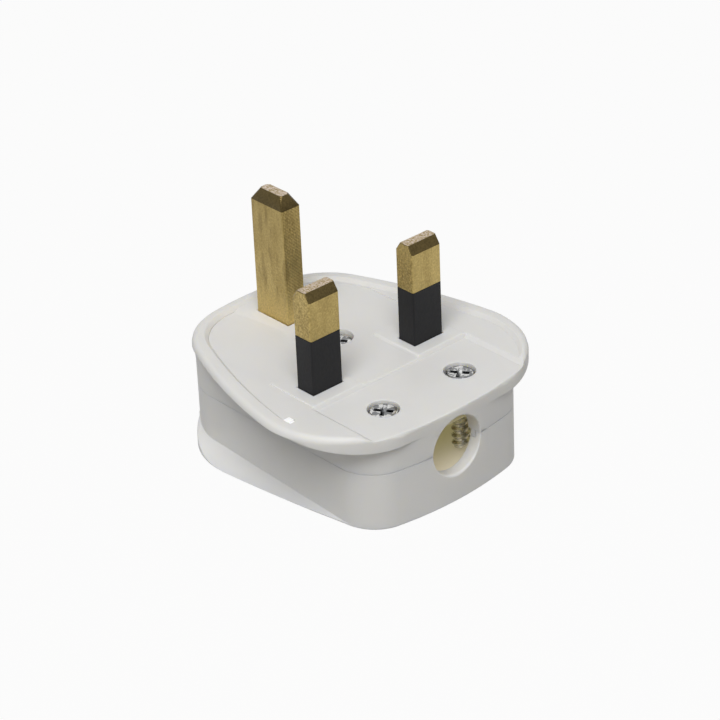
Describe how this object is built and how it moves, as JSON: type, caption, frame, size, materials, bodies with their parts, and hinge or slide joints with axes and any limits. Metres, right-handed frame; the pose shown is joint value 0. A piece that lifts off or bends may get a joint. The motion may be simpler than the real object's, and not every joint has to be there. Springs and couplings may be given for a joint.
{
  "type": "three pin mains plug",
  "caption": "White rewireable three pin mains plug with a rimmed pin face, brass pins, half-sleeved line and neutral pins, an undercut finger flange and a cord entry in the side.",
  "frame": {"origin": "on the pin face, midway between the line and neutral pins", "axes": "+Z along the pins away from the body, +Y from the line and neutral pins towards the earth pin, +X from the line pin to the neutral pin"},
  "size_m": [0.0508, 0.0521, 0.0414],
  "materials": {
    "housing": "satin white moulding",
    "brass": "drawn, slightly dulled",
    "sleeve": "matt black",
    "screw": "bright plated steel",
    "clamp": "matt",
    "fuse_tube": "unglazed",
    "plated": "plated"
  },
  "bodies": {
    "root": {"base": "housing", "cover": "housing", "earth_pin": "brass", "line_pin": "brass", "neutral_pin": "brass", "line_pin_sleeve": "sleeve", "neutral_pin_sleeve": "sleeve", "cover_screw": "screw", "cord_clamp_screws": "screw", "cord_clamp_bar": "clamp", "fuse_tube": "fuse_tube", "fuse_cap_front": "plated", "fuse_cap_rear": "plated", "fuse_clip_front": "brass", "fuse_clip_rear": "brass", "line_terminal": "brass", "terminal_screws": "plated"}
  },
  "joints": []
}
